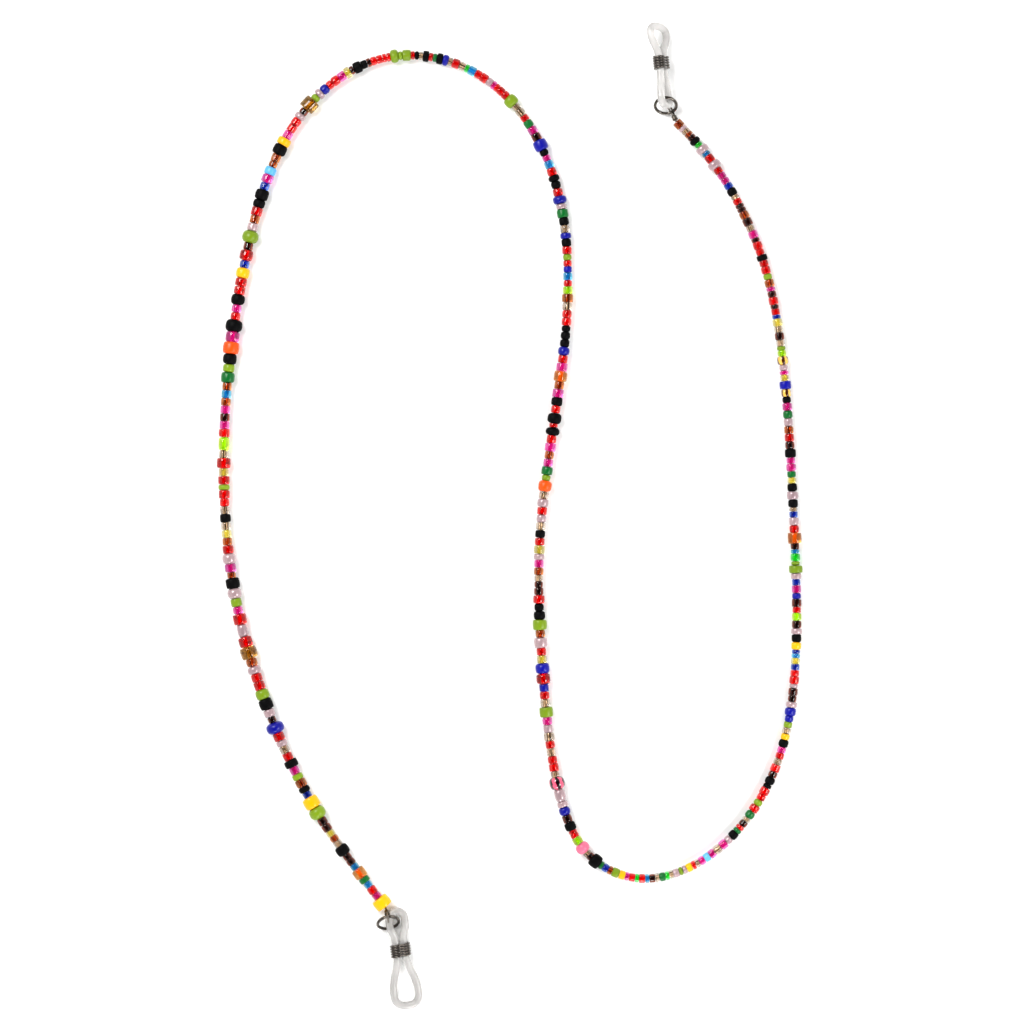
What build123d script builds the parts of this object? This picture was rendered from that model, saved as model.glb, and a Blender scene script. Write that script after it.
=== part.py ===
from build123d import *
import os
from math import asin, cos, degrees, radians, sin, tan

# A beaded eyeglass chain, laid down in an S on a table.
# Millimetres, +Z up. The origin is on the table under the middle of the S.
# End "a" is at +Y and end "b" at -Y. Each end has a wire eye, a jump ring and a silicone loop
# with a spring slider, which grips one temple arm of a pair of glasses.

# ---- beading wire and beads -------------------------------------------------------------------
wire_diameter = 0.45        # nylon-coated steel beading wire
bead_bore = 0.95            # hole through every bead
bead_play = 0.077           # least room between two beads on the wire
end_play = 0.30             # room between the end of the lay and the bead next to it

# Seed beads are sold by size: outside diameter and length along the wire.
bead_sizes = {
    "1": (2.10, 0.95),      # slice of a small bead
    "2": (2.10, 1.45),      # small seed bead
    "3": (2.35, 1.85),      # small seed bead, long
    "4": (2.70, 1.40),      # medium seed bead, flat
    "5": (2.70, 2.00),      # medium seed bead
    "6": (3.30, 1.90),      # large seed bead, flat
    "7": (3.30, 2.50),      # large seed bead
    "8": (3.90, 2.90),      # pony bead
    "9": (2.60, 3.20),      # tube
    "0": (4.15, 2.75),      # end bead
}
bead_rounding = 0.42        # radius of a bead's outer edges, as a share of its length
wall_rounding = 0.80        # the most of the glass wall's thickness that this radius may take

# One letter for each finish, and the node that holds all the beads of that finish.
finishes = {
    "K": "beads_black",
    "O": "beads_olive",
    "G": "beads_green",
    "B": "beads_navy",
    "Y": "beads_yellow",
    "T": "beads_orange",
    "P": "beads_mauve_pearl",
    "S": "beads_rose",
    "W": "beads_sky",
    "r": "beads_red_lustre",
    "m": "beads_magenta_lined",
    "d": "beads_root_beer",
    "a": "beads_amber_gold",
    "c": "beads_silver_lined",
    "y": "beads_lemon_lined",
    "l": "beads_chartreuse_lined",
    "g": "beads_neon_green_lined",
    "t": "beads_turquoise_lined",
    "b": "beads_sapphire_lined",
    "o": "beads_sunshine_lined",
    "x": "beads_gold_striped",
    "z": "beads_pink_striped",
    "q": "beads_honey_clear",
}

# The order of stringing from end a to end b: a finish, then a size.
stringing = """
a3 P1 c1 a1 d1 K4 g1 P6 t1 r3 P6 r2 m2 m2 b2 K3 c1 r2
d1 d1 a3 d3 c2 m3 d1 r3 r2 K4 r2 r3 O2 a3 m1 d2 r3 d1
r2 b1 y3 c2 d3 c2 O1 l2 x5 P2 m1 y2 B5 x3 K2 m3 G3 P3
a3 r3 d3 K5 m2 m3 G2 y2 K3 P5 K3 c1 b2 P3 r3 o7 d2 t1
g3 O1 O6 P4 b2 m3 B2 d3 r2 l3 d3 P4 K3 Y3 b1 t1 y2 b2
r2 r3 P1 d3 d2 P4 B5 B2 O2 c2 Y2 K3 m2 r2 c2 r3 d2 K3
K1 r3 r2 O2 r3 G3 c1 d2 r1 G1 K3 P2 m3 c3 m2 W2 m2 c1
r1 Y2 P1 O1 P2 c1 g1 G2 c1 d2 t1 r2 g1 r2 m1 Y2 O3 a1
b2 G1 K7 d1 c1 S7 l3 r1 r1 K5 d3 B5 P4 P9 z8 c2 r3 r3
c3 r3 c5 P3 m3 O7 c3 r3 B3 r7 B7 y3 r3 P7 a3 O7 K5 K3
r5 d3 d2 c2 a3 m3 P4 y5 r3 K3 c3 P3 r3 P5 c3 T7 O2 G5
m3 a3 m5 r3 K6 r1 K7 r3 K5 m5 a3 o7 m5 r3 B5 K3 K3 K2
r3 r3 c3 a5 l3 r2 t3 B2 r2 O2 r3 K3 B4 c3 K3 G5 P4 B6
r3 K3 K4 r3 t3 m2 K2 B7 d3 m3 G3 r2 c3 c2 O7 r2 r2 r1
m1 P2 r3 r2 t3 g1 c2 r3 c1 B4 K4 G1 r1 K4 c1 K1 r1 O5
O1 O6 r1 r1 r2 r2 d1 K2 K5 d1 y4 m3 r3 r2 B3 P4 O2 q8
d2 P4 r3 r3 m3 Y6 K7 a3 a2 W5 m5 b3 K7 K5 r5 a3 P5 O8
d3 r7 b3 Y7 r5 r5 K7 m3 r3 K8 m7 T8 K7 O5 G7 a3 t3 a3
m3 d3 m3 r5 l9 c3 r7 y3 r5 O4 r5 r3 c3 K5 c3 y3 a3 r5
P7 m5 a2 K7 P7 O5 m3 r7 P9 r7 q8 a5 P6 r5 r5 O7 K7 P5
d2 B0 r5 P4 c3 r3 K6 m3 O4 a5 K4 b2 Y8 O8 d3 d3 y2 a2
c2 K7 d2 d2 t2 o7 G4 t2 r3 m2 Y0
""".split()

# ---- the lay of the wire on the table -----------------------------------------------------------
# Corners of the wire's route in plan. The wire lies as high as the largest beads nearby lift it,
# so each corner names the bead size whose radius is its height.
lay = [
    (41.1, 98.7, "7"), (42.3, 97.4, "7"), (44.7, 95.0, "7"), (49.3, 90.0, "7"), (57.0, 78.5, "7"),
    (64.3, 61.5, "7"), (68.4, 38.0, "7"), (70.6, 4.0, "7"), (71.9, -34.0, "7"), (68.5, -59.0, "7"),
    (59.5, -76.5, "7"), (46.5, -88.0, "8"), (31.5, -92.0, "8"), (17.5, -85.0, "8"), (11.0, -67.5, "8"),
    (7.8, -41.0, "8"), (6.4, -8.0, "8"), (10.5, 22.0, "8"), (14.6, 50.0, "8"), (13.6, 78.0, "8"),
    (4.2, 100.5, "8"), (-11.5, 113.5, "8"), (-31.0, 116.0, "8"), (-48.5, 106.5, "8"), (-61.0, 87.0, "8"),
    (-68.6, 55.0, "8"), (-72.5, 18.0, "8"), (-70.2, -19.0, "0"), (-60.5, -50.5, "0"), (-49.5, -73.0, "0"),
    (-41.5, -84.5, "0"), (-36.2, -91.5, "0"), (-33.6, -95.0, "0"), (-32.2, -96.7, "0"), (-31.2, -98.1, "0"),
]
run_share = 0.45            # share of the shorter run that an arc takes up at each of its ends

# ---- crimps and wire eyes ------------------------------------------------------------------------
strand_gap = 0.05           # between the wire and its tail inside a crimp
crimp_length = 1.10
crimp_wall = 0.20
crimp_clearance = 0.05
eye_clearance = 0.22        # between the jump ring and the wire that goes round it
hook_gap = 1.10             # from a crimp's end to the middle of the ring's wire
eye_reach = 1.50            # from the ring's wire to the far end of the eye
eye_flare = 0.85            # length over which the eye opens out
eye_lift = 0.10             # spare height under an eye, which may slope down

# ---- jump rings ----------------------------------------------------------------------------------
ring_wire = 0.80
ring_diameter = 6.10        # outside
ring_split = 3.0            # degrees of the cut in the ring
rest_clearance = 0.02       # between the lowest point of a fitting and the table

# ---- silicone loops and spring sliders -------------------------------------------------------------
silicone_diameter = 1.90
neck_gap = 0.05             # between the two legs inside the slider
link_width = 3.90           # between the legs' middles where they go round the jump ring
temple_width = 6.20         # between the legs' middles at the widest part of the temple loop
coil_wire = 0.60
coil_turns = 5
coil_pitch = 0.65
coil_clearance = 0.08       # between the coil and the silicone inside it
slide_down = 1.00           # travel of the slider towards the jump ring
slide_up = 0.30             # travel of the slider towards the temple loop
neck_margin = 0.80          # neck past that travel, where the legs start to spread

# What differs between the two ends. Angles are in degrees, seen from above and measured from +X.
# Distances along a loop start at the jump ring's wire, and lifts are out of the loop's plane.
ends = {
    "a": {
        "heading": 112.0,       # of the crimp and the wire eye
        "crimp_from": 0.25,     # from the last corner of the lay to the crimp
        "ring_turn": -2.0,      # of the ring's level diameter
        "ring_tilt": 50.0,      # of the ring's plane out of level
        "hook_angle": -52.0,    # round the ring to the wire eye
        "link_angle": 98.0,     # round the ring to the silicone loop
        "loop_heading": 95.6,
        "loop_roll": 58.0,      # of the loop's plane about its length
        "link_slack": 0.0,      # spare length of the loop beyond the ring's wire
        "link_straight": 1.20,  # length of the wide part on the near side of the ring's wire
        "leg_lift": 0.0,        # of the leg that climbs over the ring
        "neck_lift": 0.0,       # of the neck inside the slider
        "temple_twist": 9.0,    # of the temple end against the rest of the loop
        "slider_at": 8.9,
        "widest_at": 14.6,
        "loop_reach": 18.1,
    },
    "b": {
        "heading": -75.0,
        "crimp_from": 0.85,
        "ring_turn": 14.0,
        "ring_tilt": 50.0,
        "hook_angle": 82.0,
        "link_angle": -40.0,
        "loop_heading": -82.8,
        "loop_roll": 0.0,
        "link_slack": 1.30,
        "link_straight": 1.00,
        "leg_lift": 1.15,
        "neck_lift": 0.60,
        "temple_twist": 0.0,
        "slider_at": 6.5,
        "widest_at": 14.9,
        "loop_reach": 20.5,
    },
}

# ---- worked out ------------------------------------------------------------------------------------
ring_radius = (ring_diameter - ring_wire) / 2
tail_offset = wire_diameter + strand_gap
eye_half_height = ring_wire / 2 + wire_diameter / 2 + eye_clearance
neck_width = silicone_diameter + neck_gap
coil_length = coil_turns * coil_pitch + coil_wire
coil_half_width = neck_width / 2 + silicone_diameter / 2 + coil_clearance + coil_wire / 2
coil_half_depth = silicone_diameter / 2 + coil_clearance + coil_wire / 2


def direction(heading, pitch):
    "A unit vector with a heading from +X and a pitch up from level, in degrees."
    h, p = radians(heading), radians(pitch)
    return Vector(cos(h) * cos(p), sin(h) * cos(p), sin(p))


def corner_radii(corners):
    "Each corner's radius: a share of its shorter run, over the tangent of half the turn."
    radii = []
    for before, corner, after in zip(corners, corners[1:], corners[2:]):
        run_in, run_out = corner - before, after - corner
        half_turn = radians(run_in.get_angle(run_out)) / 2
        radii.append(run_share * min(run_in.length, run_out.length) / tan(half_turn))
    return radii


def tube(route, radii, diameter):
    "A round bar along straight runs joined by tangent arcs."
    with BuildPart() as bar:
        with BuildLine() as path:
            FilletPolyline(*route, radius=radii)
        start = Plane(origin=path.wires()[0] @ 0, z_dir=path.wires()[0] % 0)
        with BuildSketch(start):
            Circle(diameter / 2)
        sweep(path=path.wires()[0])
    return bar.part, path.wires()[0]


def report_volume(name, part, diameter, length):
    "Prints a bar's volume against its section times its length."
    section = Circle(diameter / 2, mode=Mode.PRIVATE).area
    print(f"{name}: volume {part.volume:.2f}, section x length {section * length:.2f}")


def finish_part(part, name):
    "Labels a finished piece and writes it to its own file."
    part.label = name
    export_step(part, f"parts/{name}.step")


os.makedirs("parts", exist_ok=True)

# ---- where each end's pieces go --------------------------------------------------------------------
route = [Vector(x, y, bead_sizes[size][0] / 2) for x, y, size in lay]
mouths = {"a": route[0], "b": route[-1]}

for name, end in ends.items():
    turn, tilt = end["ring_turn"], end["ring_tilt"]
    level = direction(turn, 0)
    steep = direction(turn + 90, tilt)
    hook, link = radians(end["hook_angle"]), radians(end["link_angle"])
    ring_rise = ring_radius * sin(radians(tilt))

    # The ring stands on the table, unless the wire eye under it needs more room.
    hook_height = rest_clearance + ring_wire / 2 + ring_rise * (1 + sin(hook))
    hook_height = max(hook_height, rest_clearance + wire_diameter / 2 + eye_half_height + eye_lift)
    reach = end["crimp_from"] + crimp_length + hook_gap
    mouth = mouths[name]
    pitch = degrees(asin((hook_height - mouth.Z) / reach))
    outward = direction(end["heading"], pitch)
    hook_point = mouth + outward * reach
    ring_centre = hook_point - (level * cos(hook) + steep * sin(hook)) * ring_radius
    hook_tangent = steep * cos(hook) - level * sin(hook)
    across = hook_tangent - outward * hook_tangent.dot(outward)
    end["eye"] = Plane(origin=mouth, x_dir=outward, z_dir=across)
    end["ring"] = Plane(origin=ring_centre, x_dir=level, z_dir=level.cross(steep))
    end["hook_axis"] = Axis(hook_point, hook_tangent)
    end["reach"] = reach

    # The loop hangs from the ring's wire, with the temple end down on the table.
    link_point = ring_centre + (level * cos(link) + steep * sin(link)) * ring_radius
    roll, twist = radians(end["loop_roll"]), radians(end["temple_twist"])
    lobe_height = rest_clearance + silicone_diameter / 2 + temple_width / 2 * sin(roll - twist)
    droop = degrees(asin((lobe_height - link_point.Z) / end["loop_reach"]))
    along = direction(end["loop_heading"], droop)
    side = direction(end["loop_heading"] + 90, 0)
    width_dir = side * cos(roll) + along.cross(side) * sin(roll)
    end["loop"] = Plane(origin=link_point, x_dir=along, z_dir=along.cross(width_dir))
    end["link_axis"] = Axis(link_point, steep * cos(link) - level * sin(link))

# ---- beading wire: one length, with an eye at each end and its tails back in the crimps --------------
eyes = {}
for name, end in ends.items():
    crimp_end = end["crimp_from"] + crimp_length
    opens = crimp_end + strand_gap
    far = end["reach"] + eye_reach
    eye_corners = [
        (opens, 0),
        (opens + eye_flare, eye_half_height),
        (far, eye_half_height),
        (far, -eye_half_height),
        (opens + eye_flare, -eye_half_height),
        (opens, -tail_offset),
        (opens - crimp_length * 2 / 3, -tail_offset),
    ]
    eyes[name] = [end["eye"].from_local_coords(Vector(x, y, 0)) for x, y in eye_corners]

wire_route = [*reversed(eyes["a"]), *route, *eyes["b"]]
wire_radii = corner_radii(wire_route)
print("cord radii:", " ".join(f"{r:.2f}" for r in wire_radii))
beading_wire, wire_path = tube(wire_route, wire_radii, wire_diameter)
report_volume("beading_wire", beading_wire, wire_diameter, wire_path.length)
print(f"beading wire length {wire_path.length:.1f}")
finish_part(beading_wire, "beading_wire")

# ---- beads ---------------------------------------------------------------------------------------
blanks = {}
for size, (diameter, length) in bead_sizes.items():
    wall = (diameter - bead_bore) / 2
    with BuildPart() as blank:
        with BuildSketch(Plane.XZ) as profile:
            with Locations((bead_bore / 2 + wall / 2, 0)):
                Rectangle(wall, length)
            rounding = min(bead_rounding * length, wall_rounding * wall)
            fillet(profile.vertices().group_by(Axis.X)[-1], rounding)
        revolve(axis=Axis.Z)
    blanks[size] = blank.part

# The beads go on one after another from end a. The list starts again if there is wire left, and
# the wire that is too short for one more bead is shared out as play.
with BuildLine() as lay_line:
    lay_corners = wire_route[len(eyes["a"]) - 1:len(wire_route) - len(eyes["b"]) + 1]
    FilletPolyline(*lay_corners, radius=corner_radii(lay_corners))
strung_line = lay_line.wires()[0]
strung_from = (route[0] - lay_corners[0]).length + end_play
strung_to = strung_line.length - (lay_corners[-1] - route[-1]).length - end_play

strung = []
used = 0.0
while used + bead_sizes[stringing[len(strung) % len(stringing)][1]][1] <= strung_to - strung_from:
    bead = stringing[len(strung) % len(stringing)]
    strung.append(bead)
    used += bead_sizes[bead[1]][1] + bead_play
play = bead_play + (strung_to - strung_from - used + bead_play) / (len(strung) - 1)
print(f"{len(strung)} beads, {play:.3f} apart")

seats = {}
reached = strung_from
for bead in strung:
    length = bead_sizes[bead[1]][1]
    middle = reached + length / 2
    seat = Plane(
        origin=strung_line.position_at(middle, PositionMode.LENGTH),
        z_dir=strung_line.tangent_at(middle, PositionMode.LENGTH),
    )
    seats.setdefault(bead, []).append(seat)
    reached += length + play

for letter, name in finishes.items():
    with BuildPart() as beads:
        for size, blank in blanks.items():
            if letter + size in seats:
                with Locations(*seats[letter + size]):
                    add(blank)
    if beads.part:
        finish_part(beads.part, name)

# ---- crimps, jump rings, silicone loops and spring sliders at each end ---------------------------------
for name, end in ends.items():
    bore = wire_diameter + tail_offset + 2 * crimp_clearance
    crimp_start = end["eye"].from_local_coords(Vector(end["crimp_from"], -tail_offset / 2, 0))
    with BuildPart() as crimp:
        with BuildSketch(Plane(origin=crimp_start, z_dir=end["eye"].x_dir)):
            Circle(bore / 2 + crimp_wall)
            Circle(bore / 2, mode=Mode.SUBTRACT)
        extrude(amount=crimp_length)
    finish_part(crimp.part, f"crimp_{name}")

    ring_plane = end["ring"]
    split_at = (end["hook_angle"] + end["link_angle"]) / 2 + 180
    cut = ring_plane.moved(Rotation(0, 0, split_at + ring_split / 2))
    with BuildPart() as jump_ring:
        with BuildSketch(Plane(origin=cut.origin, x_dir=cut.x_dir, z_dir=-cut.y_dir)):
            with Locations((ring_radius, 0)):
                Circle(ring_wire / 2)
        revolve(axis=Axis(cut.origin, cut.z_dir), revolution_arc=360 - ring_split)
    finish_part(jump_ring.part, f"jump_ring_{name}")

    # The loop is two sides, each from the middle of the link end, past the neck, to the temple end.
    slider_start = end["slider_at"] - coil_length / 2
    neck_start = slider_start - slide_down - neck_margin
    neck_stop = end["slider_at"] + coil_length / 2 + slide_up + neck_margin
    link_end = -link_width / 2 - end["link_slack"]
    twist = radians(end["temple_twist"])
    spread, tip_lift = temple_width * cos(twist), -temple_width * sin(twist)
    loop_length = 0
    with BuildPart() as silicone:
        for half, leg_lift in ((0.5, 0), (-0.5, end["leg_lift"])):
            corners = [
                (link_end, half * link_width, 0),
                (end["link_straight"], half * link_width, leg_lift),
                (neck_start, half * neck_width, end["neck_lift"]),
                (neck_stop, half * neck_width, end["neck_lift"]),
                (end["widest_at"], half * spread, half * tip_lift),
                (end["loop_reach"], half * spread, half * tip_lift),
            ]
            across = [
                (link_end, -half * link_width, 0),
                (end["loop_reach"], -half * spread, -half * tip_lift),
            ]
            side_radii = corner_radii([Vector(*corner) for corner in (across[0], *corners, across[1])])
            side_route = [(link_end, 0, 0), *corners, (end["loop_reach"], 0, 0)]
            side_route = [end["loop"].from_local_coords(Vector(*corner)) for corner in side_route]
            side, side_path = tube(side_route, side_radii, silicone_diameter)
            add(side)
            loop_length += side_path.length
    report_volume(f"silicone_loop_{name}", silicone.part, silicone_diameter, loop_length)
    finish_part(silicone.part, f"silicone_loop_{name}")

    # The slider is one wire wound as a flat helix: four corners to a turn, a quarter pitch apart.
    quarter = [(1, 1), (-1, 1), (-1, -1), (1, -1)]
    helix = []
    for step in range(4 * coil_turns + 1):
        width_side, depth_side = quarter[step % 4]
        rise = slider_start + coil_wire / 2 + step * coil_pitch / 4
        depth = end["neck_lift"] + depth_side * coil_half_depth
        corner = Vector(rise, width_side * coil_half_width, depth)
        helix.append(end["loop"].from_local_coords(corner))
    spring_slider, coil_path = tube(helix, coil_half_depth * 0.9, coil_wire)
    report_volume(f"spring_slider_{name}", spring_slider, coil_wire, coil_path.length)
    finish_part(spring_slider, f"spring_slider_{name}")

# ---- where the joints are ---------------------------------------------------------------------------
for name, end in ends.items():
    for label, axis in (("ring swing", end["hook_axis"]), ("loop swing", end["link_axis"])):
        at, along = axis.position, axis.direction
        print(f"{label} {name}: at {at.X:.3f} {at.Y:.3f} {at.Z:.3f} along {along.X:.4f} {along.Y:.4f} {along.Z:.4f}")
    along = end["loop"].x_dir
    print(f"slider {name}: along {along.X:.4f} {along.Y:.4f} {along.Z:.4f}")
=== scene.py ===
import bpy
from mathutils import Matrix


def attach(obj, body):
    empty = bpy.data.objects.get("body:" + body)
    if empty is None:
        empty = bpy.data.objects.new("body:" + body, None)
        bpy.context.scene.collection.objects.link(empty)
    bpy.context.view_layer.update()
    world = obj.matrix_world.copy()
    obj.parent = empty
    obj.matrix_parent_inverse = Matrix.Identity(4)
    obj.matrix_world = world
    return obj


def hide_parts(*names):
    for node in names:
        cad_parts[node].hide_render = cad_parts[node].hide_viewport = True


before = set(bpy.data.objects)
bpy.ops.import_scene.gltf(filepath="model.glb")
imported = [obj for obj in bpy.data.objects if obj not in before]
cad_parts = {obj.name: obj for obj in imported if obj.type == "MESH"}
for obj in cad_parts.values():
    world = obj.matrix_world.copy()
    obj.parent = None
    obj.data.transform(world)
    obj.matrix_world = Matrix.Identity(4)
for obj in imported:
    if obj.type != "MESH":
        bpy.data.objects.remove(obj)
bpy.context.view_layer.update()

import bpy
import numpy as np
from mathutils import Vector

mm = 0.001
scene = bpy.context.scene
dice = np.random.default_rng(389)      # one seed for all the small unevenness
print("frame loaded:", len(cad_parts), "nodes")

# The camera looks straight down at the chain as it lies in its S
cameraSettings = {
    "across": 0.256,                   # width of the view on the table
    "lens": 100.0,
    "sensor": 36.0,
    "middle": (0.00025, 0.00088),
    "beadHeight": 0.0016,
}
cameraData = bpy.data.cameras.new("tableCamera")
cameraData.lens = cameraSettings["lens"]
cameraData.sensor_width = cameraSettings["sensor"]
cameraData.dof.use_dof = False
camera = bpy.data.objects.new("tableCamera", cameraData)
cameraHeight = cameraSettings["across"] * cameraSettings["lens"] / cameraSettings["sensor"]
camera.location = (*cameraSettings["middle"], cameraHeight + cameraSettings["beadHeight"])
scene.collection.objects.link(camera)
scene.camera = camera
scene.view_settings.view_transform = "Standard"
scene.view_settings.look = "Medium High Contrast"

# The beading wire: corners of its route in metres, from the tail in crimp a, round eye a, along
# the table and round eye b to the tail in crimp b
wireSettings = {"diameter": 0.00045, "length": 0.715, "stepsPerCorner": 12}
wireRoute = [
    (0.0411043, 0.0993187, 0.0010917), (0.0408345, 0.0999865, 0.0009540),
    (0.0406939, 0.1007686, 0.0004956), (0.0400684, 0.1023168, 0.0001764),
    (0.0392248, 0.1022777, 0.0016403), (0.0398503, 0.1007295, 0.0019595),
    (0.0405849, 0.0999750, 0.0013871),
    (0.0411, 0.0987, 0.00165), (0.0423, 0.0974, 0.00165), (0.0447, 0.0950, 0.00165),
    (0.0493, 0.0900, 0.00165), (0.0570, 0.0785, 0.00165), (0.0643, 0.0615, 0.00165),
    (0.0684, 0.0380, 0.00165), (0.0706, 0.0040, 0.00165), (0.0719, -0.0340, 0.00165),
    (0.0685, -0.0590, 0.00165), (0.0595, -0.0765, 0.00165), (0.0465, -0.0880, 0.00195),
    (0.0315, -0.0920, 0.00195), (0.0175, -0.0850, 0.00195), (0.0110, -0.0675, 0.00195),
    (0.0078, -0.0410, 0.00195), (0.0064, -0.0080, 0.00195), (0.0105, 0.0220, 0.00195),
    (0.0146, 0.0500, 0.00195), (0.0136, 0.0780, 0.00195), (0.0042, 0.1005, 0.00195),
    (-0.0115, 0.1135, 0.00195), (-0.0310, 0.1160, 0.00195), (-0.0485, 0.1065, 0.00195),
    (-0.0610, 0.0870, 0.00195), (-0.0686, 0.0550, 0.00195), (-0.0725, 0.0180, 0.00195),
    (-0.0702, -0.0190, 0.002075), (-0.0605, -0.0505, 0.002075), (-0.0495, -0.0730, 0.002075),
    (-0.0415, -0.0845, 0.002075), (-0.0362, -0.0915, 0.002075), (-0.0336, -0.0950, 0.002075),
    (-0.0322, -0.0967, 0.002075), (-0.0312, -0.0981, 0.002075),
    (-0.0308774, -0.0993039, 0.0036391), (-0.0307870, -0.0991517, 0.0048245),
    (-0.0305128, -0.1001751, 0.0061540), (-0.0304194, -0.1015029, 0.0051127),
    (-0.0306936, -0.1004795, 0.0037832), (-0.0308498, -0.0996968, 0.0033310),
    (-0.0309680, -0.0992553, 0.0027575),
]


def wireCurve(name, thickness):
    curve = bpy.data.curves.new(name, "CURVE")
    curve.dimensions = "3D"
    curve.resolution_u = wireSettings["stepsPerCorner"]
    curve.bevel_depth = thickness / 2
    curve.bevel_resolution = 3
    curve.use_fill_caps = thickness > 0
    spline = curve.splines.new("NURBS")
    spline.points.add(len(wireRoute) - 1)
    spline.points.foreach_set("co", np.hstack([wireRoute, np.ones((len(wireRoute), 1))]).ravel())
    spline.order_u = 3
    spline.use_endpoint_u = True
    shape = bpy.data.objects.new(name, curve)
    scene.collection.objects.link(shape)
    return shape


beadingWire = wireCurve("beadingWire", wireSettings["diameter"])
bareLine = wireCurve("bareLine", 0)
bpy.context.view_layer.update()
lineMesh = bpy.data.meshes.new_from_object(bareLine)
linePoints = np.empty(len(lineMesh.vertices) * 3)
lineMesh.vertices.foreach_get("co", linePoints)
linePoints = linePoints.reshape(-1, 3)
lineRun = np.r_[0, np.cumsum(np.linalg.norm(np.diff(linePoints, axis=0), axis=1))]
bpy.data.objects.remove(bareLine)
bpy.data.meshes.remove(lineMesh)
print("wire laid, length", round(lineRun[-1], 4))


black, white = (0, 0, 0, 1), (1, 1, 1, 1)


class Signal:
    # One value on its way through a finish; sums on it become Math nodes
    def __init__(self, finish, socket):
        self.finish, self.socket = finish, socket

    def sum(self, operation, first, second):
        return self.finish.add("Math", {"operation": operation}, {0: first, 1: second})

    def __add__(self, other): return self.sum("ADD", self, other)
    def __radd__(self, other): return self.sum("ADD", other, self)
    def __sub__(self, other): return self.sum("SUBTRACT", self, other)
    def __rsub__(self, other): return self.sum("SUBTRACT", other, self)
    def __mul__(self, other): return self.sum("MULTIPLY", self, other)
    def __rmul__(self, other): return self.sum("MULTIPLY", other, self)
    def __truediv__(self, other): return self.sum("DIVIDE", self, other)
    def __rtruediv__(self, other): return self.sum("DIVIDE", other, self)
    def __pow__(self, other): return self.sum("POWER", self, other)
    def __rpow__(self, other): return self.sum("POWER", other, self)


class Finish:
    # A material and the one way that a node gets into it
    def __init__(self, name, owner=None):
        self.material = owner or bpy.data.materials.new(name)
        self.material.use_nodes = True
        self.tree = self.material.node_tree
        self.tree.nodes.clear()

    def add(self, kind, settings=None, sockets=None, out=0):
        node = self.tree.nodes.new("ShaderNode" + kind)
        for key, value in (settings or {}).items():
            if key == "stops":
                ramp = node.color_ramp
                while len(ramp.elements) < len(value):
                    ramp.elements.new(1.0)
                for element, (place, colour) in zip(ramp.elements, value):
                    element.position, element.color = place, colour
            else:
                setattr(node, key, value)
        for key, value in (sockets or {}).items():
            if isinstance(value, Signal):
                self.tree.links.new(value.socket, node.inputs[key])
            else:
                node.inputs[key].default_value = value
        return Signal(self, node.outputs[out]) if node.outputs else None

    def mix(self, factor, first, second):
        colours = {0: factor, 6: first, 7: second}
        return self.add("Mix", {"data_type": "RGBA", "clamp_factor": True}, colours, 2)

    def edge(self, value, low, high, fromTo=(black, white)):
        # Black below the low value and white above the high one, or the other way round
        stops = list(zip((low, high), fromTo))
        return self.add("ValToRGB", {"stops": stops}, {0: value})

    def bump(self, strength, distance, height):
        return self.add("Bump", {}, {"Strength": strength, "Distance": distance, "Height": height})

    def noise(self, scale, detail=2.0, stretch=(1, 1, 1)):
        place = self.add("Mapping", {}, {"Vector": self.add("TexCoord", out="Object"), "Scale": stretch})
        return self.add("TexNoise", {}, {"Vector": place, "Scale": scale, "Detail": detail})

    def lot(self):
        return self.add("Attribute", {"attribute_name": "lot"}, out="Fac")

    def around(self):
        place = self.add("UVMap", {"uv_map": "turn"})
        return self.add("SeparateXYZ", {}, {0: place}, "X"), self.add("SeparateXYZ", {}, {0: place}, "Y")

    def shade(self, sockets):
        surface = self.add("BsdfPrincipled", {}, sockets)
        self.add("OutputMaterial", {}, {"Surface": surface})
        return self.material


def paint(red, green, blue):
    # Screen colour from 0 to 255, as light
    share = np.array([red, green, blue]) / 255
    light = np.where(share <= 0.04045, share / 12.92, ((share + 0.055) / 1.055) ** 2.4)
    return (*light.tolist(), 1.0)


def deeper(colour, amount):
    return (*(channel * amount for channel in colour[:3]), 1.0)


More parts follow.
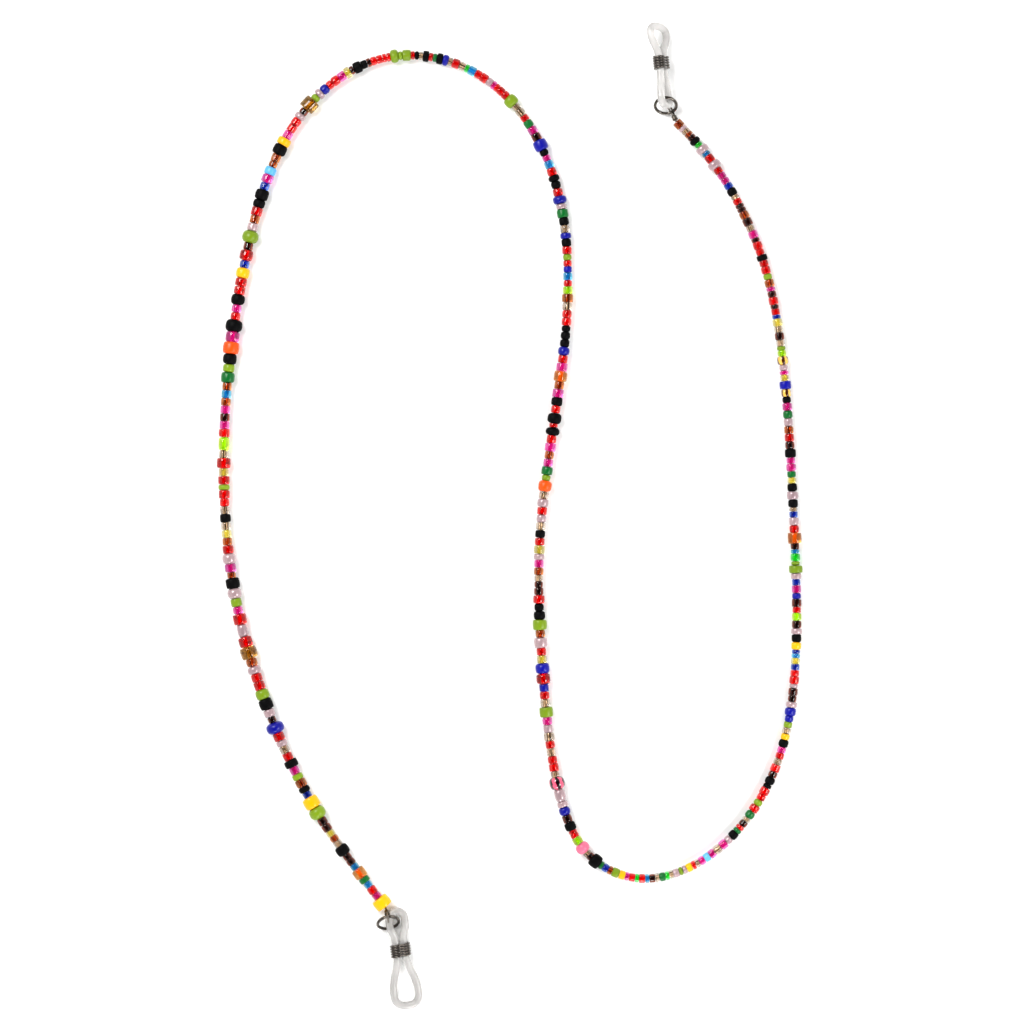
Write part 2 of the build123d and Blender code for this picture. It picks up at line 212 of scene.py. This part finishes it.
# The beads: one entry for each finish
beadSettings = {
    "turnSteps": 8,
    "smoothing": 2,
    "tilt": 0.030,                     # radians that a bead may lean on the wire
    "sizeSpread": 0.035,
    "oval": 0.020,
    "cutSlant": 0.055,                 # slope of a bead's cut ends
    "bore": 0.000475,                  # radius of the hole
    "boreInset": 0.80,                 # how far along a bead its hole's rim is
    "leastEdge": 0.22, "edgeSpan": 0.60,   # where the end face turns into the side
    "rest": 1.02, "mostLift": 0.00024,     # height of a big bead's middle, and its play on the wire
}
beadLooks = {
    "beads_black": {"make": "opaque", "colour": (1, 1, 2), "rough": 0.56, "gloss": 0.0},
    "beads_olive": {"make": "opaque", "colour": (118, 144, 28), "rough": 0.36, "gloss": 0.10},
    "beads_green": {"make": "opaque", "colour": (8, 98, 40), "rough": 0.32, "gloss": 0.15},
    "beads_navy": {"make": "opaque", "colour": (12, 16, 138), "rough": 0.34, "gloss": 0.12},
    "beads_yellow": {"make": "opaque", "colour": (242, 178, 8), "rough": 0.34, "gloss": 0.12},
    "beads_orange": {"make": "opaque", "colour": (248, 84, 14), "rough": 0.36, "gloss": 0.10},
    "beads_mauve_pearl": {"make": "pearl", "colour": (178, 152, 154), "shade": (142, 120, 126)},
    "beads_rose": {"make": "opaque",
                   "colour": (220, 112, 140), "rough": 0.32, "gloss": 0.15, "square": (0.45, 0.5)},
    "beads_sky": {"make": "opaque", "colour": (96, 172, 222), "rough": 0.32, "gloss": 0.15},
    "beads_red_lustre": {"make": "tinted", "glass": (255, 66, 62), "lining": (236, 10, 24), "metal": 0.45},
    "beads_magenta_lined": {"make": "lined", "glass": (252, 122, 208), "lining": (222, 4, 150), "metal": 0.0},
    "beads_root_beer": {"make": "tinted", "glass": (150, 66, 40), "lining": (70, 22, 10), "metal": 0.6},
    "beads_amber_gold": {"make": "tinted", "glass": (226, 138, 66), "lining": (214, 128, 56), "metal": 0.9},
    "beads_silver_lined": {"make": "tinted",
                           "glass": (236, 222, 206), "lining": (232, 206, 176), "metal": 1.0},
    "beads_lemon_lined": {"make": "lined",
                          "glass": (246, 236, 168), "lining": (232, 216, 104), "metal": 0.25},
    "beads_chartreuse_lined": {"make": "lined",
                               "glass": (226, 255, 96), "lining": (196, 246, 6), "metal": 0.0},
    "beads_neon_green_lined": {"make": "lined",
                               "glass": (112, 246, 134), "lining": (10, 228, 50), "metal": 0.0},
    "beads_turquoise_lined": {"make": "lined",
                              "glass": (112, 206, 240), "lining": (20, 160, 220), "metal": 0.0},
    "beads_sapphire_lined": {"make": "lined", "glass": (92, 132, 226), "lining": (12, 66, 190), "metal": 0.0},
    "beads_sunshine_lined": {"make": "lined",
                             "glass": (255, 192, 96), "lining": (250, 130, 20), "metal": 0.0},
    "beads_gold_striped": {"make": "striped", "colour": (232, 186, 84), "stripe": (70, 36, 12), "stripes": 5},
    "beads_pink_striped": {"make": "striped", "colour": (226, 92, 122), "stripe": (24, 8, 12), "stripes": 6},
    "beads_honey_clear": {"make": "tinted", "glass": (240, 196, 96), "lining": (214, 160, 70), "metal": 0.6},
}


def opaqueGlass(name, look):
    finish = Finish(name)
    colour = paint(*look["colour"])
    grain = finish.noise(900, 3)
    lot = finish.lot()
    tone = finish.mix(lot * 0.7 + grain * 0.3, deeper(colour, 0.80), deeper(colour, 1.12))
    pits = finish.bump(0.12, 0.00004, finish.noise(2600, 3))
    return [finish.shade({
        "Base Color": tone, "Roughness": grain * 0.16 + (look["rough"] - 0.08), "Normal": pits,
        "Coat Weight": look["gloss"], "Coat Roughness": 0.12, "IOR": 1.5,
        "Specular IOR Level": 0.3 if look["gloss"] else 0.12,
    })]


def pearlGlass(name, look):
    finish = Finish(name)
    lot = finish.lot()
    cloud = finish.noise(520, 2)
    tone = finish.mix(cloud * 0.6 + lot * 0.5 - 0.05, paint(*look["colour"]), paint(*look["shade"]))
    ripple = finish.bump(0.10, 0.00004, finish.noise(1500, 2))
    return [finish.shade({
        "Base Color": tone, "Roughness": cloud * 0.14 + 0.20, "Metallic": 0.18, "Normal": ripple,
        "Coat Weight": 0.6, "Coat Roughness": 0.10, "Sheen Weight": 0.25, "Sheen Roughness": 0.4,
    })]


def boreLining(name, colour, metal):
    # Colour or silver on the wall of the bore, seen through the glass round it
    finish = Finish(name)
    lot = finish.lot()
    worn = finish.noise(1500, 3)
    around, along = finish.around()
    fade = finish.mix(lot * 0.5 + worn * 0.5, deeper(colour, 0.80), deeper(colour, 1.15))
    streakPlace = {"W": around * 9 + lot * 40, "Scale": 1.0, "Detail": 2.0}
    streak = finish.add("TexNoise", {"noise_dimensions": "1D"}, streakPlace)
    # Dark streaks round the lining: strong on the metallic linings, where they are painted dark reflections,
    # faint on the coloured ones, where they read as wear
    wearAndDarkReflection = finish.edge(streak, 0.46, 0.52, (white, black))
    tone = finish.mix(wearAndDarkReflection * (0.95 if metal > 0.5 else 0.12), fade, deeper(colour, 0.05))
    return finish.shade({"Base Color": tone, "Roughness": worn * 0.25 + 0.22, "Metallic": metal})


def clearGlass(name, colour, flecks):
    finish = Finish(name)
    lot = finish.lot()
    fleck = finish.edge(finish.noise(1300, 1), 0.54, 0.62)
    tone = finish.mix(fleck * flecks, finish.mix(lot, deeper(colour, 0.85), colour), deeper(colour, 0.16))
    ripple = finish.bump(0.10, 0.00003, finish.noise(1300, 2))
    return finish.shade({
        "Base Color": tone, "Roughness": finish.noise(2400, 2) * 0.05 + 0.01, "Normal": ripple,
        "Transmission Weight": 1.0, "IOR": 1.5,
    })


def linedGlass(name, look):
    glass = clearGlass(name, paint(*look["glass"]), 0.50 if look["make"] == "tinted" else 0.10)
    return [glass, boreLining(name + "_lining", paint(*look["lining"]), look["metal"])]


def stripedGlass(name, look):
    finish = Finish(name)
    colour, dark = paint(*look["colour"]), paint(*look["stripe"])
    around, along = finish.around()
    wander = finish.noise(700, 2)
    turned = (around + along * 0.06 + wander * 0.10) * (6.2832 * look["stripes"])
    swing = finish.add("Math", {"operation": "SINE"}, {0: turned})
    band = finish.edge(swing * 0.5 + 0.5, 0.42, 0.56)
    body = finish.mix(wander, deeper(colour, 0.8), deeper(colour, 1.15))
    tone = finish.mix(band, dark, body)
    return [finish.shade({
        "Base Color": tone, "Roughness": wander * 0.12 + 0.12,
        "Coat Weight": 0.5, "Coat Roughness": 0.06, "IOR": 1.52,
    })]


makes = {
    "opaque": opaqueGlass, "pearl": pearlGlass, "tinted": linedGlass,
    "lined": linedGlass, "striped": stripedGlass,
}


def wrappedQuads(rows, sides, closed):
    # Corner numbers of a grid's quads: each row runs round its sides, and the last row joins the
    # first where the grid is closed
    row, step = np.meshgrid(np.arange(rows if closed else rows - 1), np.arange(sides), indexing="ij")
    nextRow, nextStep = (row + 1) % rows, (step + 1) % sides
    quads = np.stack([row * sides + step, row * sides + nextStep,
                      nextRow * sides + nextStep, nextRow * sides + step], -1)
    return row, step, quads


def beadPlaces(node):
    # Each bead in a CAD node is one island of its mesh. Corners that meet get one number, every
    # island takes its lowest number, and the island's middle and reach give the bead's size.
    mesh = node.data
    mesh.calc_loop_triangles()
    corners = np.empty(len(mesh.vertices) * 3)
    mesh.vertices.foreach_get("co", corners)
    triangles = np.empty(len(mesh.loop_triangles) * 3, int)
    mesh.loop_triangles.foreach_get("vertices", triangles)
    spots, number = np.unique(np.round(corners.reshape(-1, 3) * 1e7), axis=0, return_inverse=True)
    spots, triangles = spots / 1e7, number.ravel()[triangles].reshape(-1, 3)
    label = np.arange(len(spots))
    while True:
        lowest = label.copy()
        np.minimum.at(lowest, triangles.ravel(), np.repeat(label[triangles].min(1), 3))
        lowest = lowest[lowest]
        if (lowest == label).all():
            break
        label = lowest
    _, island = np.unique(label, return_inverse=True)
    count = np.bincount(island)
    middle = np.stack([np.bincount(island, spots[:, k]) / count for k in range(3)], 1)
    near = np.linalg.norm(middle[:, None] - linePoints, axis=2).argmin(1)
    near = near.clip(1, len(linePoints) - 2)
    heading = linePoints[near + 1] - linePoints[near - 1]
    heading /= np.linalg.norm(heading, axis=1)[:, None]
    run = lineRun[near] + ((middle - linePoints[near]) * heading).sum(1)
    off = spots - middle[island]
    ahead = (off * heading[island]).sum(1)
    aside = np.linalg.norm(off - ahead[:, None] * heading[island], axis=1)
    halfLength, radius = np.zeros(len(count)), np.zeros(len(count))
    np.maximum.at(halfLength, island, ahead)
    np.maximum.at(radius, island, aside)
    return run, radius, halfLength


def alongLine(run):
    # Points and headings on the wire's line at these distances from its start
    point = np.stack([np.interp(run, lineRun, linePoints[:, k]) for k in range(3)], 1)
    ahead = np.stack([np.interp(run + 0.0004, lineRun, linePoints[:, k]) for k in range(3)], 1)
    behind = np.stack([np.interp(run - 0.0004, lineRun, linePoints[:, k]) for k in range(3)], 1)
    heading = ahead - behind
    return point, heading / np.linalg.norm(heading, axis=1)[:, None]


def makeBeads(name, run, radius, halfLength, square):
    # A bead's skin is a closed profile of six points (distance from the axis, distance along it),
    # turned round the axis in eight steps. Smoothing draws a corner a sixth of the way to each
    # neighbour, so the corners are solved to make the smoothed skin pass through the wanted ones.
    beads, steps = len(run), beadSettings["turnSteps"]
    spread = beadSettings["sizeSpread"]
    radius = radius * (1 + spread * dice.uniform(-1, 0.4, beads))
    halfLength = halfLength * (1 - spread * dice.uniform(0, 1.4, beads))
    bore = np.full(beads, beadSettings["bore"])
    box = dice.uniform(*square, beads)     # 0.45 is a round bead and 0.75 a square cut one
    edge = bore + (beadSettings["leastEdge"] + beadSettings["edgeSpan"] * box) * (radius - bore)
    inset = beadSettings["boreInset"] * halfLength
    wanted = np.stack([
        np.stack([bore, -inset], 1), np.stack([edge, -halfLength], 1),
        np.stack([radius, -box * halfLength], 1), np.stack([radius, box * halfLength], 1),
        np.stack([edge, halfLength], 1), np.stack([bore, inset], 1),
    ], 1)
    smoothing = (4 * np.eye(6) + np.roll(np.eye(6), 1, 0) + np.roll(np.eye(6), -1, 0)) / 6
    cage = np.einsum("ij,bjk->bik", np.linalg.inv(smoothing), wanted)
    turn = np.arange(steps) * 2 * np.pi / steps
    cage[..., 0] *= 6 / (4 + 2 * np.cos(2 * np.pi / steps))
    oval = 1 + beadSettings["oval"] * dice.uniform(-1, 1, (beads, 1, 1))
    phase = turn + dice.uniform(0, 2 * np.pi, (beads, 1, 1))
    across = cage[..., :1] * np.cos(phase) * oval
    upward = cage[..., :1] * np.sin(phase) / oval
    slant = beadSettings["cutSlant"] * dice.uniform(-1, 1, (2, beads, 1, 1))
    onward = cage[..., 1:] * (1 + (slant[0] * across + slant[1] * upward) / radius[:, None, None])
    point, heading = alongLine(run)
    # a big bead rests on the table and hangs on the wire
    point[:, 2] += np.clip(radius * beadSettings["rest"] - point[:, 2], 0, beadSettings["mostLift"])
    lean = beadSettings["tilt"] * dice.uniform(-1, 1, (2, beads, 1))
    side = np.cross([0, 0, 1], heading)
    side /= np.linalg.norm(side, axis=1)[:, None]
    axis = heading + lean[0] * side + lean[1] * np.cross(heading, side)
    axis /= np.linalg.norm(axis, axis=1)[:, None]
    side = side - (side * axis).sum(1)[:, None] * axis
    side /= np.linalg.norm(side, axis=1)[:, None]
    lift = np.cross(axis, side)
    skin = (point[:, None, None] + across[..., None] * side[:, None, None]
            + upward[..., None] * lift[:, None, None] + onward[..., None] * axis[:, None, None])
    row, step, quad = wrappedQuads(6, steps, True)
    quads = (quad.reshape(1, -1, 4) + (np.arange(beads) * 6 * steps)[:, None, None]).reshape(-1, 4)
    turnMap = np.stack([
        np.stack([step, step + 1, step + 1, step], -1) / steps,
        np.stack([row, row, row + 1, row + 1], -1) / 6], -1).reshape(1, -1, 2)
    mesh = bpy.data.meshes.new(name)
    mesh.from_pydata(skin.reshape(-1, 3).tolist(), [], quads.tolist())
    mesh.uv_layers.new(name="turn").data.foreach_set("uv", np.tile(turnMap, (beads, 1, 1)).ravel())
    lots = mesh.attributes.new("lot", "FLOAT", "POINT")
    lots.data.foreach_set("value", np.repeat(dice.uniform(0, 1, beads), 6 * steps))
    mesh.polygons.foreach_set("use_smooth", np.ones(len(quads), bool))
    boreWall = np.tile((row == 5).ravel(), beads)
    return addPiece(name, mesh), boreWall


def addPiece(name, mesh):
    mesh.update()
    piece = bpy.data.objects.new(name, mesh)
    scene.collection.objects.link(piece)
    return piece


beadPieces = []
for nodeName, look in beadLooks.items():
    finishName = nodeName.split("_", 1)[1]
    run, radius, halfLength = beadPlaces(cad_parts[nodeName])
    square = (0.60, 0.76) if look["make"] in ("lined", "tinted") else look.get("square", (0.48, 0.72))
    piece, boreWall = makeBeads(finishName + "Beads", run, radius, halfLength, square)
    for material in makes[look["make"]](nodeName.replace("beads_", "glass_"), look):
        piece.data.materials.append(material)
    if len(piece.data.materials) > 1:
        piece.data.polygons.foreach_set("material_index", boreWall.astype(np.int32))
    smooth = piece.modifiers.new("smooth", "SUBSURF")
    smooth.levels = smooth.render_levels = beadSettings["smoothing"]
    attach(piece, "strand")
    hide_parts(nodeName)
    beadPieces.append(piece)
print("beads strung:", sum(len(piece.data.vertices) for piece in beadPieces) // 48)


def coatedSteel():
    finish = Finish("coatedSteel")
    strands = finish.noise(3000, 2, (1, 1, 0.3))
    tone = finish.mix(strands, paint(52, 48, 44), paint(130, 122, 112))
    twist = finish.bump(0.3, 0.00003, strands)
    return finish.shade({
        "Base Color": tone, "Metallic": 0.9, "Roughness": strands * 0.2 + 0.24, "Normal": twist,
        "Coat Weight": 0.8, "Coat Roughness": 0.12,
    })


beadingWire.data.materials.append(coatedSteel())
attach(beadingWire, "strand")
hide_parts("beading_wire")


def carry(name, path, radius, reference, sides, closed=False):
    # A round section carried along a path: point + radius * (cos(turn) * side + sin(turn) * lift),
    # where side is square to the path and to the reference. Open ends get a rounded rim and a cap.
    path = np.asarray(path, float)
    radius = np.broadcast_to(np.asarray(radius, float), len(path)).copy()
    if closed:
        heading = np.roll(path, -1, 0) - np.roll(path, 1, 0)
    else:
        first, last = path[0] - path[1], path[-1] - path[-2]
        first, last = first / np.linalg.norm(first), last / np.linalg.norm(last)
        rim = radius[0] * 0.25
        path = np.vstack([path[:1] + first * rim, path[:1] + first * rim * 0.8, path,
                          path[-1:] + last * rim * 0.8, path[-1:] + last * rim])
        radius = np.r_[radius[0] * 0.72, radius[0] * 0.92, radius, radius[-1] * 0.92, radius[-1] * 0.72]
        heading = np.gradient(path, axis=0)
    heading /= np.linalg.norm(heading, axis=1)[:, None]
    side = np.cross(reference, heading)
    side /= np.linalg.norm(side, axis=1)[:, None]
    lift = np.cross(heading, side)
    turn = np.arange(sides) * 2 * np.pi / sides
    spoke = np.cos(turn)[:, None] * side[:, None] + np.sin(turn)[:, None] * lift[:, None]
    skin = path[:, None] + radius[:, None, None] * spoke
    quads = wrappedQuads(len(path), sides, closed)[2].reshape(-1, 4)
    faces = quads.tolist()
    if not closed:
        faces += [list(range(sides))[::-1], list(range((len(path) - 1) * sides, len(path) * sides))]
    mesh = bpy.data.meshes.new(name)
    mesh.from_pydata(skin.reshape(-1, 3).tolist(), [], faces)
    mesh.polygons.foreach_set("use_smooth", np.arange(len(faces)) < len(quads))
    return addPiece(name, mesh)


def unit(vector):
    return np.asarray(vector, float) / np.linalg.norm(vector)


def place(frameOf, along, across, above):
    # Local distances in millimetres to points in metres
    return mm * (np.asarray(frameOf["at"]) + np.multiply.outer(along, frameOf["x"])
                 + np.multiply.outer(across, frameOf["y"]) + np.multiply.outer(above, frameOf["z"]))


def frameFrom(at, x, z):
    x, z = unit(x), unit(z)
    return {"at": at, "x": x, "y": np.cross(z, x), "z": z}


def gunmetal(name):
    finish = Finish(name)
    cloud = finish.noise(420, 4)
    scratch = finish.noise(900, 2, (1, 8, 1))
    tone = finish.mix(cloud, paint(44, 40, 36), paint(104, 96, 88))
    marks = finish.bump(0.12, 0.00003, scratch)
    return finish.shade({
        "Base Color": tone, "Metallic": 1.0, "Roughness": cloud * 0.10 + scratch * 0.08 + 0.06,
        "Normal": marks, "Coat Weight": 0.8, "Coat Roughness": 0.05,
    })


def crimpMetal(name):
    finish = Finish(name)
    dull = finish.noise(1400, 4)
    tone = finish.mix(dull, paint(60, 56, 52), paint(130, 122, 112))
    marks = finish.bump(0.35, 0.00005, dull)
    return finish.shade({"Base Color": tone, "Metallic": 1.0, "Roughness": dull * 0.25 + 0.22, "Normal": marks})


def clearSilicone(name):
    finish = Finish(name)
    haze = finish.noise(260, 3)
    skin = finish.noise(1800, 3)
    tone = finish.mix(haze, paint(208, 206, 204), paint(229, 227, 225))
    surface = finish.bump(0.10, 0.00004, skin)
    return finish.shade({
        "Base Color": tone, "Transmission Weight": 0.60, "IOR": 1.41, "Roughness": haze * 0.06 + 0.03,
        "Normal": surface,
    })


gunmetalFinish = gunmetal("gunmetal")
crimpFinish = crimpMetal("crimpMetal")
siliconeFinish = clearSilicone("clearSilicone")

# What hangs at each end of the wire, in millimetres
crimpSettings = {"length": 1.10, "outer": 0.725, "bore": 0.525, "squeeze": 0.16, "dent": 0.07, "offset": -0.25}
ringSettings = {"radius": 2.65, "wire": 0.40, "split": 3.0, "spring": 0.06}
loopSettings = {"radius": 0.95, "linkWidth": 3.90, "neckWidth": 1.95, "templeWidth": 6.20, "thinner": 0.06}
sliderSettings = {"wire": 0.28, "turns": 5, "pitch": 0.65, "halfDepth": 1.33, "pinch": 0.13, "stepsPerTurn": 56}
endSettings = {
    "a": {
        "eye": frameFrom((41.1, 98.7, 1.65), (-0.367945, 0.910695, -0.187755),
                         (0.784497, 0.412434, 0.463102)),
        "ring": frameFrom((38.6149, 102.33, 2.78968), (0.999391, -0.034899, 0),
                          (-0.026735, -0.765578, 0.642788)),
        "loop": frameFrom((38.3052, 104.028, 4.79994), (-0.097252, 0.991848, -0.082339),
                          (0.839743, 0.12618, 0.52812)),
        "crimpFrom": 0.25, "splitAt": 203.0, "linkSlack": 0.0, "linkStraight": 1.20, "legLift": 0.0,
        "neckLift": 0.0, "neck": (5.175, 11.925), "slider": 6.975, "twist": 9.0, "widest": 14.6, "reach": 18.1,
    },
    "b": {
        "eye": frameFrom((-31.2, -98.1, 2.075), (0.161297, -0.601969, 0.782059),
                         (-0.985355, -0.142635, 0.093437)),
        "ring": frameFrom((-30.6578, -101.662, 2.45002), (0.970296, 0.241922, 0),
                          (0.185323, -0.74329, 0.642788)),
        "loop": frameFrom((-28.4232, -102.233, 1.14515), (0.125329, -0.992078, -0.008544),
                          (0.001071, -0.008476, 0.999964)),
        "crimpFrom": 0.85, "splitAt": 201.0, "linkSlack": 1.30, "linkStraight": 1.00, "legLift": 1.15,
        "neckLift": 0.60, "neck": (2.775, 9.525), "slider": 4.575, "twist": 0.0, "widest": 14.9, "reach": 20.5,
    },
}


def makeCrimp(name, end):
    # A closed wall profile carried round the crimp's axis; the section is squeezed flat by a share
    # of (1 - cos) of twice the turn, and most in the middle of its length.
    outer, bore, half = crimpSettings["outer"], crimpSettings["bore"], crimpSettings["length"] / 2
    inRim, outRim = bore + 0.05, outer - 0.07
    profile = np.array([
        (bore, -half * 0.9), (inRim, -half), (outRim, -half), (outer, -half * 0.88),
        (outer, -half * 0.4), (outer, 0), (outer, half * 0.4), (outer, half * 0.88),
        (outRim, half), (inRim, half), (bore, half * 0.9), (bore, 0)])
    turn = np.arange(28) * 2 * np.pi / 28
    reach, along = profile[:, :1], profile[:, 1:]
    bitten = np.exp(-(along / (half * 0.45)) ** 2)
    flatten = 1 - crimpSettings["squeeze"] * (0.6 + 0.4 * bitten) * np.sin(turn) ** 2
    y = crimpSettings["offset"] + reach * np.cos(turn)
    z = reach * np.sin(turn) * flatten * (1 - crimpSettings["dent"] * bitten)
    x = np.broadcast_to(end["crimpFrom"] + half + along, y.shape)
    skin = place(end["eye"], x, y, z)
    quads = wrappedQuads(*x.shape, True)[2].reshape(-1, 4)
    mesh = bpy.data.meshes.new(name)
    mesh.from_pydata(skin.reshape(-1, 3).tolist(), [], quads.tolist())
    mesh.polygons.foreach_set("use_smooth", np.ones(len(quads), bool))
    return addPiece(name, mesh)


def makeRing(name, end):
    # A circle of wire with a cut; past the cut one end stands a little proud of the other.
    gap = np.radians(ringSettings["split"] / 2) + 0.04
    share = np.linspace(0, 1, 121)
    angle = np.radians(end["splitAt"]) + gap + share * (2 * np.pi - 2 * gap)
    radius = ringSettings["radius"]
    rise = ringSettings["spring"] * (share - 0.5) * np.abs(2 * share - 1) ** 3
    path = place(end["ring"], radius * np.cos(angle), radius * np.sin(angle), rise)
    return carry(name, path, ringSettings["wire"] * mm, end["ring"]["z"], 16)


def makeLoop(name, end):
    # A closed smooth line that runs between the middles of its corners' sides: each span is
    # (1-t)^2 * middle before + 2t(1-t) * corner + t^2 * middle after.
    link, neck, temple = (loopSettings[key] / 2 for key in ("linkWidth", "neckWidth", "templeWidth"))
    start = -link - end["linkSlack"]
    wide, drop = temple * np.cos(np.radians(end["twist"])), temple * np.sin(np.radians(end["twist"]))
    upper = [(start, link, 0), (end["linkStraight"], link, 0), (end["neck"][0], neck, end["neckLift"]),
             (end["neck"][1], neck, end["neckLift"]), (end["widest"], wide, -drop), (end["reach"], wide, -drop)]
    lower = [(x, -y, z) for x, y, z in upper]
    lower[1] = (end["linkStraight"], -link, end["legLift"])
    lower[4:] = [(end["widest"], -wide, drop), (end["reach"], -wide, drop)]
    corners = np.array(upper + lower[::-1])
    before, after = (corners + np.roll(corners, 1, 0)) / 2, (corners + np.roll(corners, -1, 0)) / 2
    t = (np.arange(14) / 14)[None, :, None]
    line = (1 - t) ** 2 * before[:, None] + 2 * t * (1 - t) * corners[:, None] + t ** 2 * after[:, None]
    line = line.reshape(-1, 3)
    path = place(end["loop"], line[:, 0], line[:, 1], line[:, 2])
    gripped = np.exp(-((line[:, 0] - end["slider"] - 1.75) / 2.6) ** 2)     # the cord narrows under the coil
    thick = loopSettings["radius"] * (1 - loopSettings["thinner"] * gripped)
    return carry(name, path, thick * mm, end["loop"]["z"], 20, closed=True)


def makeSlider(name, end):
    # A flat helix: half a circle round one leg, straight across, half a circle round the other and
    # straight back, drawn in at the middle of each straight, while it moves on by a pitch each turn.
    depth, leg = sliderSettings["halfDepth"], loopSettings["neckWidth"] / 2
    arc, run = np.pi * depth, 2 * leg
    turns = sliderSettings["turns"]
    perTurn = sliderSettings["stepsPerTurn"]
    went = np.arange(turns * perTurn + 1) / perTurn
    travel = (went % 1) * 2 * (arc + run)
    angle = travel / depth - np.pi / 2
    second = travel - arc - run
    backAngle = second / depth - np.pi / 2
    stretches = [travel < arc, travel < arc + run, travel < 2 * arc + run]
    acrosses = [leg + depth * np.cos(angle), leg - (travel - arc), -leg - depth * np.cos(backAngle)]
    across = np.select(stretches, acrosses, second - arc - leg)
    above = np.select(stretches, [depth * np.sin(angle), depth, -depth * np.sin(backAngle)], -depth)
    pinch = np.where(np.abs(across) < leg, np.cos(np.pi * across / (2 * leg)) ** 2, 0)
    above = above * (1 - sliderSettings["pinch"] * pinch)
    along = end["slider"] + sliderSettings["wire"] + went * sliderSettings["pitch"]
    path = place(end["loop"], along, across, above + end["neckLift"])
    return carry(name, path, sliderSettings["wire"] * mm, end["loop"]["x"], 12)


for side, end in endSettings.items():
    for make, kind, body, finish, slot in (
            (makeCrimp, "crimp", "strand", crimpFinish, "crimp_metal"),
            (makeRing, "jump_ring", "ring_" + side, gunmetalFinish, "gunmetal"),
            (makeLoop, "silicone_loop", "loop_" + side, siliconeFinish, "clear_silicone"),
            (makeSlider, "spring_slider", "slider_" + side, gunmetalFinish, "gunmetal")):
        words = kind.split("_")
        piece = make(words[0] + "".join(word.title() for word in words[1:]) + side.upper(), end)
        piece.data.materials.append(finish)
        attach(piece, body)
        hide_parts(kind + "_" + side)
print("end fittings made")

tableSettings = {"size": 3.0, "drop": 0.00005, "colour": (247, 247, 246)}
half = tableSettings["size"] / 2
tableCorners = [(x * half, y * half, -tableSettings["drop"]) for x, y in ((-1, -1), (1, -1), (1, 1), (-1, 1))]
tableMesh = bpy.data.meshes.new("whiteTable")
tableMesh.from_pydata(tableCorners, [], [(0, 1, 2, 3)])
whiteTable = addPiece("whiteTable", tableMesh)
tableFinish = Finish("whiteTable")
tableColour = paint(*tableSettings["colour"])
tableTone = tableFinish.mix(tableFinish.noise(60, 3), tableColour, deeper(tableColour, 0.985))
whiteTable.data.materials.append(tableFinish.shade({
    "Base Color": tableTone, "Roughness": 0.7, "Specular IOR Level": 0.2}))

lightSettings = {
    "sky": 0.84,
    "tent": [(0.0, (0.5, 0.5, 0.5, 1)), (0.22, white), (0.72, white), (0.87, (0.01, 0.01, 0.01, 1))],
    "panels": {
        "keyPanel": {"place": (-0.30, 0.28, 0.55), "size": 0.30, "watts": 3.4},
        "fillPanel": {"place": (0.42, -0.20, 0.45), "size": 0.25, "watts": 1.9},
        "lowPanel": {"place": (0.05, -0.60, 0.30), "size": 0.20, "watts": 1.4},
    },
}
scene.world = bpy.data.worlds.new("softSky")
sky = Finish("softSky", scene.world)                   # a white tent, dark round the hole over the camera
height = sky.add("SeparateXYZ", {}, {0: sky.add("TexCoord", out="Generated")}, "Z")
tent = sky.add("ValToRGB", {"stops": lightSettings["tent"]}, {0: height})
glow = sky.add("Background", {}, {"Color": tent, "Strength": lightSettings["sky"]})
sky.add("OutputWorld", {}, {"Surface": glow})
for name, panel in lightSettings["panels"].items():
    light = bpy.data.lights.new(name, "AREA")
    light.shape, light.size, light.energy = "SQUARE", panel["size"], panel["watts"]
    lamp = bpy.data.objects.new(name, light)
    lamp.location = panel["place"]
    lamp.rotation_mode = "QUATERNION"
    lamp.rotation_quaternion = (-Vector(panel["place"])).to_track_quat("-Z", "Y")
    scene.collection.objects.link(lamp)
print("table and lights set")
